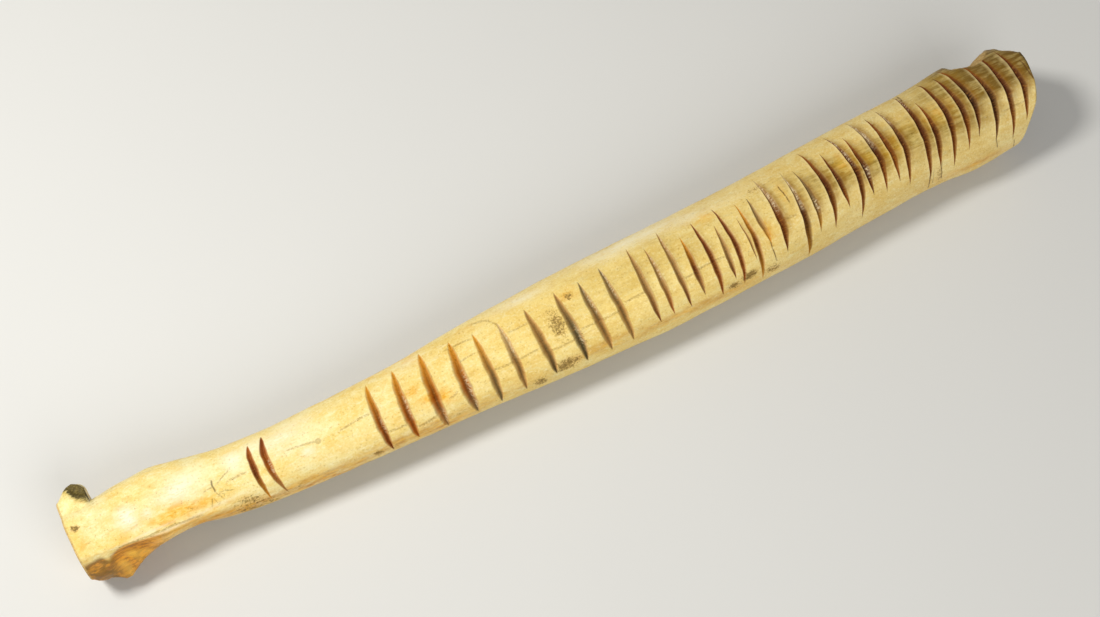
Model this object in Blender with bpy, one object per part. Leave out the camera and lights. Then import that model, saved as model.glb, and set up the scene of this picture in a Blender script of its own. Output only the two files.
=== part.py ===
"""Tally bone: the shaft of a slender limb bone with forty cuts carved across its crest.

The bone is one solid. It is lofted in its own frame, with X running from the flared joint end to the
broken end, Y towards the far side and Z towards the carved crest. It is then rolled towards the viewer,
laid down on its two lowest places, and flattened a little there so that it does not roll.
"""
import math

import bmesh
import bpy
import numpy as np
from mathutils import Matrix, Vector

MM = 0.001

# Overall sizes
LENGTH = 214.0 * MM
ROLL = math.radians(18.0)
REST_FLAT = 0.35 * MM
LEVELLINGS = 3

# Outlines along the bone: share of the length, and millimetres from the axis line
FAR_SIDE = (
    (0.000, 5.9), (0.030, 6.1), (0.060, 6.8), (0.085, 7.1), (0.105, 6.5), (0.133, 5.3), (0.175, 4.6),
    (0.250, 4.7), (0.303, 5.1), (0.400, 6.9), (0.500, 8.4), (0.600, 8.9), (0.700, 9.8), (0.800, 11.1),
    (0.900, 12.5), (0.925, 13.2), (0.960, 13.0), (0.975, 12.7), (0.985, 12.2), (0.990, 11.2), (1.000, 10.6),
)
NEAR_SIDE = (
    (0.000, 7.4), (0.008, 8.8), (0.018, 9.2), (0.024, 9.8), (0.030, 10.6), (0.037, 9.9), (0.047, 8.8),
    (0.056, 8.0), (0.075, 7.2), (0.100, 6.8), (0.133, 8.2), (0.160, 9.0), (0.200, 9.6), (0.265, 10.0),
    (0.360, 10.5), (0.470, 11.4), (0.590, 11.7), (0.650, 11.3), (0.730, 10.4), (0.810, 9.2), (0.880, 8.4),
    (0.920, 8.9), (0.965, 8.7), (1.000, 7.6),
)
CREST_LINE = ((0.00, 0.5), (0.06, 0.3), (0.12, -0.9), (0.20, -2.6), (0.45, -3.2), (0.60, -2.2),
              (0.72, -1.2), (0.80, 0.6), (0.90, 2.4), (1.00, 2.9))
CREST_HEIGHT = ((0.00, 6.2), (0.05, 6.0), (0.11, 5.6), (0.20, 5.8), (0.35, 6.4), (0.50, 7.6),
                (0.65, 8.4), (0.80, 9.0), (1.00, 9.4))
BELLY_DEPTH = ((0.00, 8.3), (0.04, 8.6), (0.11, 6.4), (0.20, 6.4), (0.40, 7.0), (0.60, 7.8),
               (0.85, 8.6), (1.00, 8.6))

# How square each quarter of the section is: 2 is an ellipse, less is a roof, more is a box
FAR_FULLNESS = ((0.00, 3.0), (0.10, 2.3), (0.30, 2.1), (0.60, 1.9), (0.80, 1.65), (1.00, 1.6))
NEAR_FULLNESS = ((0.00, 3.2), (0.07, 3.0), (0.13, 2.2), (0.30, 2.1), (0.60, 1.9), (0.80, 1.65), (1.00, 1.6))
BELLY_FULLNESS = ((0.00, 2.8), (0.12, 2.3), (0.60, 2.2), (1.00, 2.5))

# Swells and hollows on the skin: share along, reach in shares, angle from the crest, reach in degrees, height
# in millimetres. Angles are positive on the far side.
SWELLS = (
    (0.090, 0.070, -55, 30, 0.5),   # ridge above the shaded facet, where the shaft is narrowest
    (0.560, 0.300, 150, 22, 0.5),   # low rough line along the underside
    (0.300, 0.200, -140, 26, 0.4),  # low swell under the near side
)

# The shaded facet of the flared end: one plane, sliced off below a ridge line that starts at the joint face
FACET_RIDGE = (0.0 * MM, -3.7 * MM, 5.6 * MM)
FACET_YAW = math.radians(-5.0)
FACET_SLOPE = math.radians(46.0)

# The joint face is dished, and its edge is rounded
END_DISH = 0.5 * MM
END_ROUND = 0.5 * MM

# The break: angle from the crest, and how far short of the full length the wall ends there, in millimetres
BREAK = ((-180, 9.0), (-135, 8.6), (-90, 7.4), (-62, 6.1), (-45, 4.7), (-30, 3.2), (-10, 2.4), (15, 1.9),
         (40, 1.0), (56, 0.9), (70, 2.4), (90, 3.8), (135, 6.0))
BREAK_REACH = 12.0 * MM

# A flake is lost from the far edge near the break
FLAKE_SHARE = 0.953
FLAKE_RADII = (7.2 * MM, 7.1 * MM, 13.0 * MM)
FLAKE_BITE = 2.9 * MM
FLAKE_DROP = 1.0 * MM

# The broken process beside the joint: a rounded stub that stands out from the far side, with a dished scar
PROCESS_SIZE = (6.2 * MM, 8.4 * MM, 8.6 * MM)
PROCESS_ROUND = 2.3 * MM
PROCESS_ROUND_STEPS = 3
PROCESS_ALONG = 2.9 * MM
PROCESS_REACH = 4.4 * MM
PROCESS_DROP = 0.4 * MM
SCAR_OFFSET = (4.6 * MM, 4.6 * MM, 4.8 * MM)
SCAR_RADIUS = 4.7 * MM

# The marrow hollow is open at the break and runs on inside as a blunt point
WALL = 3.4 * MM
MARROW_SHARE = 0.62
MARROW_TAPER_SHARE = 0.30
MARROW_TIP_SHARE = 0.02

# The cuts. Each is one stroke of a blade in one plane: where it crosses the crest as a share of the length,
# how far it reaches from the crest up the far side and down the near side in degrees, how the plane slants
# across the bone and leans along it in degrees, and the greatest width in millimetres.
CUT_DEPTH_RATIO = 0.62
CUT_BACK_SHARE = 0.38
CUT_STEPS = 8
CUT_OVERRUN = 1.08
CUT_SEARCHES = 4
CUT_CLEARANCE = 0.8 * MM
FIRST_PAIR = (
    (0.171, 47, -57, 1, -15, 1.3),
    (0.184, 55, -59, -1, -22, 1.4),
)
WIDE_RUN = (
    (0.286, 58, -67, 1, -16, 1.9),
    (0.312, 60, -66, 2, -17, 2.0),
    (0.341, 65, -75, 2, -15, 2.1),
    (0.369, 55, -68, 1, -17, 2.2),
    (0.396, 47, -69, -1, -7, 2.2),
    (0.423, 43, -63, -1, -5, 1.9),
    (0.453, 42, -56, -2, 1, 2.1),
    (0.484, 43, -58, -4, -3, 2.3),
    (0.510, 41, -58, -4, -2, 1.9),
    (0.534, 46, -59, -3, 1, 1.7),
)
SHORT_RUN = (
    (0.562, 54, -51, -1, -5, 1.8),
    (0.579, 43, -48, -1, 0, 1.4),
    (0.595, 58, -50, -1, -4, 1.5),
    (0.612, 36, -42, 0, -3, 1.4),
    (0.630, 46, -57, -2, 5, 1.4),
    (0.646, 30, -42, 1, -3, 1.0),
    (0.657, 51, -57, -1, 11, 1.3),
    (0.670, 27, -31, -3, 5, 0.5),
    (0.676, 42, -67, -1, 7, 1.3),
    (0.688, 42, -22, -4, -6, 1.1),
)
LONG_RUN = (
    (0.705, 65, -44, 2, 8, 1.6),
    (0.728, 52, -74, 2, 3, 1.4),
    (0.742, 45, -42, 0, 10, 1.1),
    (0.759, 69, -49, 1, 9, 1.4),
    (0.772, 49, -34, -3, -3, 1.1),
    (0.791, 72, -58, 2, 12, 1.3),
    (0.800, 54, -36, -1, 1, 1.2),
    (0.817, 78, -41, 2, 8, 1.2),
    (0.830, 66, -38, 0, 1, 1.2),
    (0.844, 70, -50, 4, 7, 1.2),
    (0.866, 84, -74, 4, 1, 1.4),
    (0.878, 48, -58, 3, 5, 1.5),
    (0.895, 80, -56, 5, 6, 1.3),
    (0.911, 70, -46, 4, 8, 1.4),
    (0.924, 78, -34, 6, 14, 1.2),
    (0.943, 64, -50, 4, 12, 1.4),
    (0.960, 76, -60, 3, 4, 1.3),
    (0.977, 64, -46, 5, 7, 1.3),
)
CUTS = FIRST_PAIR + WIDE_RUN + SHORT_RUN + LONG_RUN

# Fineness of the loft, whose rings lie closer together towards both ends
STATIONS = 42
STATION_CROWDING = 0.62
SIDES = 34
MARROW_STATIONS = 12
MARROW_SIDES = 18


def curve(points, at):
    """Smooth curve through (place, value) points, read at one place or an array of places."""
    xs, ys = np.array(points, dtype=float).T
    slopes = np.gradient(ys, xs)
    at = np.clip(at, xs[0], xs[-1])
    i = np.clip(np.searchsorted(xs, at, side="right") - 1, 0, len(xs) - 2)
    span = xs[i + 1] - xs[i]
    t = (at - xs[i]) / span
    start = ys[i] * (1 + 2 * t) + slopes[i] * span * t
    finish = ys[i + 1] * (3 - 2 * t) + slopes[i + 1] * span * (t - 1)
    return start * (1 - t) ** 2 + finish * t ** 2


def bump(distance, reach):
    """One at the middle, falling smoothly to nothing at the reach."""
    return np.where(np.abs(distance) < reach, np.cos(0.5 * np.pi * distance / reach) ** 2, 0.0)


def section(share, angle):
    """Point (y, z) of the skin in the bone's own frame, at a share of the length and an angle from the crest."""
    crest_y = curve(CREST_LINE, share)
    far = curve(FAR_SIDE, share) - crest_y
    near = curve(NEAR_SIDE, share) + crest_y
    width = np.where(np.sin(angle) > 0, far, near)
    up = np.cos(angle) > 0
    height = np.where(up, curve(CREST_HEIGHT, share), curve(BELLY_DEPTH, share))
    roof = np.where(np.sin(angle) > 0, curve(FAR_FULLNESS, share), curve(NEAR_FULLNESS, share))
    power = 2.0 / np.where(up, roof, curve(BELLY_FULLNESS, share))
    y = width * np.sign(np.sin(angle)) * np.abs(np.sin(angle)) ** power
    z = height * np.sign(np.cos(angle)) * np.abs(np.cos(angle)) ** power
    radius = np.hypot(y, z)
    degrees = np.degrees(np.arctan2(y, z))
    swell = 0.0
    for place, reach, direction, spread, height_mm in SWELLS:
        turn = (degrees - direction + 180.0) % 360.0 - 180.0
        swell = swell + height_mm * bump(share - place, reach) * bump(turn, spread)
    stretch = 1.0 + swell / radius
    return (crest_y + y * stretch) * MM, z * stretch * MM


def skin(x, angle):
    """Point of the skin at a distance from the joint face."""
    y, z = section(np.asarray(x) / LENGTH, angle)
    return np.stack(np.broadcast_arrays(x, y, z), axis=-1)


def break_setback(angle):
    """How far short of the full length the broken wall ends at an angle."""
    turn = np.degrees(angle)
    closed = BREAK + ((BREAK[0][0] + 360, BREAK[0][1]),)
    return curve(closed, (turn + 180.0) % 360.0 - 180.0) * MM


def as_data(name, mesh):
    data = bpy.data.meshes.new(name)
    mesh.to_mesh(data)
    mesh.free()
    return data


def loft(name, rings):
    """Closed mesh through a list of rings of points, with its ends closed by fans."""
    mesh = bmesh.new()
    rows = [[mesh.verts.new(p) for p in ring] for ring in rings]
    count = len(rows[0])
    for lower, upper in zip(rows, rows[1:]):
        for k in range(count):
            mesh.faces.new((lower[k], lower[(k + 1) % count], upper[(k + 1) % count], upper[k]))
    for row in (rows[0], rows[-1]):
        centre = mesh.verts.new(sum((v.co for v in row), Vector()) / count)
        for k in range(count):
            mesh.faces.new((row[k], row[(k + 1) % count], centre))
    bmesh.ops.recalc_face_normals(mesh, faces=mesh.faces)
    return as_data(name, mesh)


def angles(count):
    return np.linspace(0.0, 2.0 * math.pi, count, endpoint=False)


def shaft_rings():
    """Rings of the shaft: the dished joint face, the rounded edge, then the skin up to the break."""
    around = angles(SIDES)
    shares = np.linspace(0.0, 1.0, STATIONS)
    places = LENGTH * (shares - STATION_CROWDING * np.sin(2.0 * math.pi * shares) / (2.0 * math.pi))
    first = skin(np.zeros(SIDES), around)
    middle = first.mean(axis=0)
    rings = []
    for inset in (0.35, 0.75):
        ring = middle + (first - middle) * inset
        ring[:, 0] += END_DISH * (1.0 - inset)
        rings.append(ring)
    shrink = 1.0 - END_ROUND / np.linalg.norm(first - middle, axis=1)
    rings.append(middle + (first - middle) * shrink[:, None])
    for x in places:
        start = END_ROUND if x == 0.0 else x
        near_break = np.clip((start - (LENGTH - BREAK_REACH)) / BREAK_REACH, 0.0, 1.0)
        rings.append(skin(start - near_break * break_setback(around), around))
    return rings


def marrow_rings():
    """Rings of the marrow hollow: the skin moved in by the wall, from a blunt point to beyond the break."""
    around = angles(MARROW_SIDES)
    inner = LENGTH * (1.0 - MARROW_SHARE)
    rings = []
    for share in np.linspace(0.0, 1.0, MARROW_STATIONS + 1):
        ring = skin(np.full(MARROW_SIDES, inner + (LENGTH - inner) * share), around)
        middle = ring.mean(axis=0)
        spokes = ring - middle
        lengths = np.linalg.norm(spokes, axis=1)[:, None]
        taper = min(1.0, math.sqrt((share + MARROW_TIP_SHARE) / MARROW_TAPER_SHARE))
        rings.append(middle + spokes / lengths * (lengths - WALL) * taper)
    last = rings[-1].copy()
    last[:, 0] += WALL
    rings.append(last)
    return rings


def cut_rings(share, upper, lower, slant, lean, width):
    """Rings of one cut: a wedge that follows the skin in one plane and leaves it at both ends of the stroke."""
    crest = skin(share * LENGTH, 0.0)
    across = math.tan(math.radians(slant))
    rise = math.tan(math.radians(lean))

    def on_plane(y, z):
        return np.array((crest[0] + across * (y - crest[1]) + rise * (z - crest[2]), y, z))

    heart = on_plane(crest[1], 0.0)
    along = np.array((1.0, -across, -rise))
    along /= np.linalg.norm(along)
    depth = width * MM * CUT_DEPTH_RATIO
    middle = math.radians(0.5 * (upper + lower))
    half_reach = math.radians(0.5 * (upper - lower))
    rings = []
    for stroke in np.linspace(-CUT_OVERRUN, CUT_OVERRUN, CUT_STEPS + 1):
        angle = middle + half_reach * stroke
        point = crest
        for _ in range(CUT_SEARCHES):
            point = skin(on_plane(point[1], point[2])[0], angle)
        out = (point - heart) / np.linalg.norm(point - heart)
        sink = depth * (1.0 - stroke * stroke)
        height = CUT_CLEARANCE + sink
        opening = height / CUT_DEPTH_RATIO
        bottom = point - out * sink
        top = bottom + out * height
        back = top - along * opening * CUT_BACK_SHARE
        front = top + along * opening * (1.0 - CUT_BACK_SHARE)
        rings.append(np.array((bottom, back, front)))
    return rings


def add(name, data, collection):
    thing = bpy.data.objects.new(name, data)
    collection.objects.link(thing)
    return thing


def as_cutter(thing):
    thing.hide_render = True
    thing.display_type = "WIRE"
    return thing


def combine(target, tool, operation):
    """Boolean that is applied at once, so that many of them stay quick."""
    modifier = target.modifiers.new(operation.title(), "BOOLEAN")
    modifier.operation = operation
    modifier.solver = "EXACT"
    modifier.object = tool
    view = bpy.context.evaluated_depsgraph_get()
    data = bpy.data.meshes.new_from_object(target.evaluated_get(view))
    target.modifiers.remove(modifier)
    old = target.data
    target.data = data
    bpy.data.meshes.remove(old)


def ball(name, place, radii, collection):
    mesh = bmesh.new()
    bmesh.ops.create_uvsphere(mesh, u_segments=20, v_segments=10, radius=1.0)
    bmesh.ops.scale(mesh, vec=radii, verts=mesh.verts)
    bmesh.ops.translate(mesh, vec=place, verts=mesh.verts)
    return add(name, as_data(name, mesh), collection)


def rounded_block(name, place, size, rounding, steps, collection):
    mesh = bmesh.new()
    bmesh.ops.create_cube(mesh, size=1.0)
    bmesh.ops.scale(mesh, vec=size, verts=mesh.verts)
    bmesh.ops.bevel(mesh, geom=mesh.edges[:], offset=rounding, segments=steps, profile=0.5, affect="EDGES")
    bmesh.ops.translate(mesh, vec=place, verts=mesh.verts)
    return add(name, as_data(name, mesh), collection)


def add_process(bone, cutters):
    """Joins the broken process to the far side of the joint end and dishes its scar."""
    far = curve(FAR_SIDE, PROCESS_ALONG / LENGTH) * MM
    place = np.array((PROCESS_ALONG, far + PROCESS_REACH - PROCESS_SIZE[1] / 2, -PROCESS_DROP))
    stub = rounded_block("process", place, PROCESS_SIZE, PROCESS_ROUND, PROCESS_ROUND_STEPS, cutters)
    combine(bone, as_cutter(stub), "UNION")
    scar = ball("scar", place + SCAR_OFFSET, (SCAR_RADIUS,) * 3, cutters)
    combine(bone, as_cutter(scar), "DIFFERENCE")


def lose_flake(bone, cutters):
    """Bites the flake scar out of the far edge."""
    far = curve(FAR_SIDE, FLAKE_SHARE) * MM
    place = (FLAKE_SHARE * LENGTH, far + FLAKE_RADII[1] - FLAKE_BITE, -FLAKE_DROP)
    combine(bone, as_cutter(ball("flake", place, FLAKE_RADII, cutters)), "DIFFERENCE")


def slice_facet(bone, cutters):
    """Slices the facet of the flared end off with the lower face of a turned box."""
    widest = max(width for _, width in NEAR_SIDE) * MM
    size = (LENGTH / 3, 3 * widest, widest)
    mesh = bmesh.new()
    bmesh.ops.create_cube(mesh, size=1.0)
    bmesh.ops.scale(mesh, vec=size, verts=mesh.verts)
    bmesh.ops.translate(mesh, vec=(0.0, 0.0, size[2] / 2), verts=mesh.verts)
    turn = Matrix.Rotation(FACET_YAW, 4, "Z") @ Matrix.Rotation(FACET_SLOPE, 4, "X")
    bmesh.ops.transform(mesh, matrix=Matrix.Translation(FACET_RIDGE) @ turn, verts=mesh.verts)
    combine(bone, as_cutter(add("facet", as_data("facet", mesh), cutters)), "DIFFERENCE")


def carve_cuts(bone, cutters):
    for number, cut in enumerate(CUTS, 1):
        name = f"cut_{number:02d}"
        combine(bone, as_cutter(add(name, loft(name, cut_rings(*cut)), cutters)), "DIFFERENCE")


def corners(thing):
    return np.array([v.co for v in thing.data.vertices])


def lay_down(bone):
    """Rolls the bone towards the viewer and levels it on the lowest place of each half."""
    bone.data.transform(Matrix.Rotation(ROLL, 4, "X"))
    for _ in range(LEVELLINGS):
        points = corners(bone)
        middle = 0.5 * (points[:, 0].min() + points[:, 0].max())
        left = points[points[:, 0] < middle]
        right = points[points[:, 0] >= middle]
        heel = left[left[:, 2].argmin()]
        toe = right[right[:, 2].argmin()]
        pitch = math.atan2(toe[2] - heel[2], toe[0] - heel[0])
        bone.data.transform(Matrix.Rotation(pitch, 4, "Y"))


def stand_on_origin(bone):
    points = corners(bone)
    low, high = points.min(axis=0), points.max(axis=0)
    bone.data.transform(Matrix.Translation((-(low[0] + high[0]) / 2, -(low[1] + high[1]) / 2, -low[2])))


def flatten_underside(bone, cutters):
    """Shaves the lowest places flat, so that the bone rests without rolling."""
    points = corners(bone)
    low, high = points.min(axis=0), points.max(axis=0)
    mesh = bmesh.new()
    bmesh.ops.create_cube(mesh, size=1.0)
    size = (2.0 * LENGTH, 2.0 * (high[1] - low[1]), 2.0 * (high[2] - low[2]))
    bmesh.ops.scale(mesh, vec=size, verts=mesh.verts)
    bmesh.ops.translate(mesh, vec=(0.0, 0.0, low[2] + REST_FLAT - size[2] / 2), verts=mesh.verts)
    block = as_cutter(add("rest_plane", as_data("rest_plane", mesh), cutters))
    combine(bone, block, "DIFFERENCE")


def bone_material():
    material = bpy.data.materials.new("bone")
    material.use_nodes = True
    shader = material.node_tree.nodes["Principled BSDF"]
    shader.inputs["Base Color"].default_value = (0.78, 0.62, 0.30, 1.0)
    shader.inputs["Roughness"].default_value = 0.42
    shader.inputs["Metallic"].default_value = 0.0
    return material


def build():
    for thing in list(bpy.data.objects):
        bpy.data.objects.remove(thing, do_unlink=True)
    parts = bpy.data.collections.new("tally_bone")
    cutters = bpy.data.collections.new("cutters")
    bpy.context.scene.collection.children.link(parts)
    bpy.context.scene.collection.children.link(cutters)

    bone = add("notched_bone", loft("notched_bone", shaft_rings()), parts)
    marrow = as_cutter(add("marrow", loft("marrow", marrow_rings()), cutters))
    combine(bone, marrow, "DIFFERENCE")
    slice_facet(bone, cutters)
    add_process(bone, cutters)
    lose_flake(bone, cutters)
    carve_cuts(bone, cutters)
    lay_down(bone)
    flatten_underside(bone, cutters)
    stand_on_origin(bone)
    bone.data.materials.clear()
    bone.data.materials.append(bone_material())
    bone.data.shade_smooth()
    bone.data.set_sharp_from_angle(angle=math.radians(35.0))


build()
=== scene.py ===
import math
from collections import namedtuple

import bpy
import numpy as np
from mathutils import Matrix, Vector


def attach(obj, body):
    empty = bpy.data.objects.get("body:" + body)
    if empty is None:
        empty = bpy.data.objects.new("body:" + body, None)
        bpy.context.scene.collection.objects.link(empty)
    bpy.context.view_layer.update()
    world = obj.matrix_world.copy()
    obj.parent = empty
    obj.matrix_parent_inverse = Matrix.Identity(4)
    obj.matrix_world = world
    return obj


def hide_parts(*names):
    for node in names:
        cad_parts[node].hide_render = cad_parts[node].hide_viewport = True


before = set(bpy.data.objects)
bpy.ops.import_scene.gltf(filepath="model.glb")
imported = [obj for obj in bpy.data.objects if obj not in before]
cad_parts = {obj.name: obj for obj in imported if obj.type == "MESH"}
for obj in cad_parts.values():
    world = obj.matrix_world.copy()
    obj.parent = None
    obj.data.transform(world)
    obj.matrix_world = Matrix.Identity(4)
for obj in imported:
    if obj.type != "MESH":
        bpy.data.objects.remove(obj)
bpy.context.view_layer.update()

# The bone is described in its own frame in millimetres: x from the joint face to the broken end, y towards
# the far side, z towards the carved crest. Angles run round the bone from the crest and are positive on the
# far side.
MM = 0.001
LENGTH = 214
TINY = 1e-6

# How the bone lies
ROLL = math.radians(18)
PITCH = math.radians(0.1094)
PLACE = np.array((-106.51, -0.843, 8.874))

# The plain skin at shares of the length: reach of the far and near side, line and height of the crest, and
# depth of the belly
FAR_SIDE = (
    (0, 5.9), (0.03, 6.1), (0.06, 6.8), (0.085, 7.1), (0.105, 6.5), (0.133, 5.3), (0.175, 4.6),
    (0.25, 4.7), (0.303, 5.1), (0.4, 6.9), (0.5, 8.4), (0.6, 8.9), (0.7, 9.8), (0.8, 11.1),
    (0.9, 12.5), (0.925, 13.2), (0.96, 13.1), (1, 12.6),
)
NEAR_SIDE = (
    (0, 7.4), (0.008, 8.8), (0.018, 9.2), (0.024, 9.8), (0.03, 10.6), (0.037, 9.9), (0.047, 8.8),
    (0.056, 8), (0.075, 7.2), (0.1, 6.8), (0.133, 8.2), (0.16, 9), (0.2, 9.6), (0.265, 10),
    (0.36, 10.5), (0.47, 11.4), (0.59, 11.7), (0.65, 11.3), (0.73, 10.4), (0.81, 9.2), (0.88, 8.4),
    (0.915, 8.9), (0.95, 8.2), (1, 6.9),
)
CREST_LINE = ((0, 0.5), (0.06, 0.3), (0.12, -0.9), (0.2, -2.6), (0.45, -3.2), (0.6, -2.2),
              (0.72, -1.2), (0.8, 0.6), (0.9, 2.4), (1, 2.9))
CREST_HEIGHT = ((0, 6.2), (0.05, 6), (0.11, 5.6), (0.2, 5.8), (0.35, 6.4), (0.5, 7.6),
                (0.65, 8.4), (0.8, 9), (1, 9.4))
BELLY_DEPTH = ((0, 8.3), (0.04, 8.6), (0.11, 6.4), (0.2, 6.4), (0.4, 7), (0.6, 7.8),
               (0.85, 8.6), (1, 8.6))

# How full each quarter of the section is: 2 is an ellipse, less is more pointed and more is squarer
FAR_FULLNESS = ((0, 3), (0.1, 2.3), (0.3, 2.1), (0.6, 1.9), (0.8, 1.65), (1, 1.6))
NEAR_FULLNESS = ((0, 3.2), (0.07, 3), (0.13, 2.2), (0.3, 2.1), (0.6, 1.9), (0.8, 1.65), (1, 1.6))
BELLY_FULLNESS = ((0, 2.8), (0.12, 2.3), (0.6, 2.2), (1, 2.5))

# Broad swells: middle and reach as shares of the length, direction and spread in degrees, and height
SWELLS = (
    (0.09, 0.07, -55, 30, 0.5),
    (0.56, 0.3, 150, 22, 0.5),
    (0.3, 0.2, -140, 26, 0.4),
)

# The facet of the joint end: a plane through a ridge, sloping down to the near side
FACET_RIDGE = (0, -3.7, 5.6)
FACET_YAW = math.radians(-5)
FACET_SLOPE = math.radians(46)
FACET_NORMAL = (
    math.sin(FACET_YAW) * math.sin(FACET_SLOPE),
    -math.cos(FACET_YAW) * math.sin(FACET_SLOPE),
    math.cos(FACET_SLOPE),
)
FACET_REACH = 30
# It is cut to half its depth up to the first of these places, and wholly from the second on
FACET_WHOLE = (2, 8)
# Where its painted brown shade begins, seen from above
FACET_TOP = (
    (0, -5.1), (2.2, -5.4), (3.7, -5.1), (4.8, -6), (6, -5.7), (6.9, -4.9), (8.3, -4.5), (10.6, -4.6),
    (13, -4.7), (19, -4.9), (30, -5.6),
)

# The joint face: depth of its dish and radius of its edge
END_DISH = 0.5
END_ROUND = 0.5

# The broken wall: how far short of the full length it ends at angles round the bone, the length over which
# the rows turn to follow it, and how far its inner edge lies back
BREAK = ((-180, 9), (-135, 8.6), (-90, 7.4), (-62, 6.1), (-45, 4.7), (-30, 3.2), (-10, 2.4), (15, 1.9),
         (40, 1), (56, 0.9), (70, 2.4), (90, 3.8), (135, 6), (180, 9))
BREAK_REACH = 12
BREAK_LIP = 0.25

# Where the far edge lost a flake: place along the bone and how far the edge still reaches there, how much
# less above and below, how squarely lost skin faces the far side, and the loss that looks wholly broken
FLAKE = (
    (198.7, 14), (199, 12.5), (199.4, 12.1), (201.2, 11.8), (203.2, 11.2), (205, 11.4), (207, 12),
    (208.8, 12.9), (210.2, 12.3), (210.7, 11.4), (211.6, 11.2), (213.2, 10), (214.5, 9.4),
)
FLAKE_TILT = 0.1
FLAKE_FACING = 0.3
FLAKE_EDGE = 0.15

# The process: middle and half height of its section, how far it reaches at each place along the bone, and
# how far it overhangs towards the break, most where it stands out by the overhang's rise
PROCESS_MIDDLE = -0.4
PROCESS_HALF = 4.3
PROCESS_BASE = 3
PROCESS_TOP = (
    (0, 7.8), (0.5, 8.4), (1.2, 9), (1.9, 9.5), (2.5, 9.8), (3.4, 10.2), (4.2, 10.1), (5, 9.5), (5.5, 8.4),
    (5.8, 6.4), (6.1, 3.2),
)
OVERHANG = 0.45
OVERHANG_RISE = 3.2

# The dark hollow in its upper side: it lies beyond a slanting line and above a height, and is pressed in by
# its depth, or by a share of the height above its lower border where that is less
HOLLOW_LINE = (
    (2.2, 10.5), (2.8, 9.7), (3.3, 8.7), (4, 7.8), (4.8, 7.2), (6, 6.5), (6.7, 6.4), (7.3, 7.6), (8, 9.6),
)
HOLLOW_SLANT = 0.75
HOLLOW_LOW = 0.5
HOLLOW_DEPTH = 2.4
HOLLOW_PRESS = 0.85
NO_HOLLOW = -6

# The marrow hollow: the wall round it, its mouth behind the rim, and its length, taper and tip as shares
WALL = 3.4
MARROW_MOUTH = 3
MARROW_SHARE = 0.62
MARROW_TAPER_SHARE = 0.3
MARROW_TIP_SHARE = 0.02

# Unevenness: height, size along, across and up, seed, and in one case the number of layers
SLOW_WAVES = (0.1, (11, 5, 5), 3)
FINE_WAVES = (0.035, (3, 1.3, 1.3), 11)
END_WAVES = (0.1, (3.6, 2.4, 2.4), 7)
FLAKE_CHIPS = (0.16, (1.6, 1.2, 1.2), 23)
PROCESS_CHIPS = (0.22, (1.3, 1.6, 1.6), 17)
PROCESS_BUMPS = (1, (1.4, 1.4, 1.4), 19)
FACE_BUMPS = (0.22, (2.2, 2.2, 2.2), 41)
BREAK_BUMPS = (0.35, (1.4, 1.1, 1.1), 53, 4)
MARROW_BUMPS = (0.25, (2.5, 1.5, 1.5), 61)
ZONE_DRIFT = (1, (9, 3, 3), 71)
DIRT_DRIFT = (0.5, (2.4, 1.6, 1.6), 73)
NOISE_CELLS = 32

# Colours of the cuts, in sRGB
TINTS = {
    "bistre": (76, 32, 0),
    "umber": (116, 46, 0),
    "rust": (168, 86, 8),
    "amber": (220, 156, 40),
    "drab": (168, 130, 74),
    "grey": (122, 108, 72),
    "soot": (74, 66, 40),
    "pale": (216, 190, 136),
}
# Colour of the painted shade beside the cuts
BESIDE_SHADE_TINT = (134, 90, 20)

# The cuts: share of the length at the crest, reach up the far side and down the near side in degrees, slant
# and lean in degrees, greatest width, tints of the upper end, the middle and the lower end, and in some the
# stretch of the right wall with painted pale glints, from -1 at the lower end to 1 at the upper
FIRST_PAIR = (
    (0.171, 47, -60, 1, -15, 1.5, "rust umber amber"),
    (0.184, 55, -61, -1, -22, 1.7, "umber rust drab", (-0.3, 0.2)),
)
WIDE_RUN = (
    (0.2903, 58, -67, 1, -6, 2, "amber rust umber", (-0.3, 0.1)),
    (0.3167, 60, -66, 2, -6, 2.2, "amber rust rust", (-0.3, 0.4)),
    (0.3454, 65, -75, 2, -6, 2.5, "amber rust drab", (-0.9, -0.4)),
    (0.3752, 55, -68, 1, -7, 2.6, "amber rust grey", (-0.9, 0.3)),
    (0.4012, 47, -69, -1, 3, 2, "amber drab grey"),
    (0.4261, 43, -63, -1, 4, 1.9, "pale drab drab", (0.2, 0.9)),
    (0.4556, 42, -56, -4, 4, 2.2, "drab drab soot"),
    (0.4868, 43, -58, -4, 3, 2.2, "drab grey soot", (-0.6, 0.2)),
    (0.5107, 41, -58, -4, 0, 2.1, "grey drab drab", (0.2, 0.8)),
    (0.534, 46, -59, -3, 1, 1.9, "grey drab drab", (0.3, 1)),
)
SHORT_RUN = (
    (0.5633, 54, -51, -1, -5, 1.7, "drab drab umber"),
    (0.579, 43, -48, -1, 0, 1.5, "drab drab rust", (0.1, 0.8)),
    (0.596, 58, -50, -1, -4, 1.5, "drab drab umber", (0.4, 0.9)),
    (0.6126, 36, -42, 0, -3, 1.6, "amber umber drab"),
    (0.631, 46, -57, -2, 5, 1.6, "umber umber rust"),
    (0.646, 30, -42, 1, -3, 1.4, "drab drab umber"),
    (0.657, 51, -57, -1, 11, 1.5, "umber umber rust"),
    (0.67, 27, -31, -3, 5, 0.6, "drab drab drab"),
    (0.676, 42, -67, -1, 7, 1.5, "amber umber amber"),
    (0.688, 42, -22, -4, -6, 1.3, "grey drab amber"),
)
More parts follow.
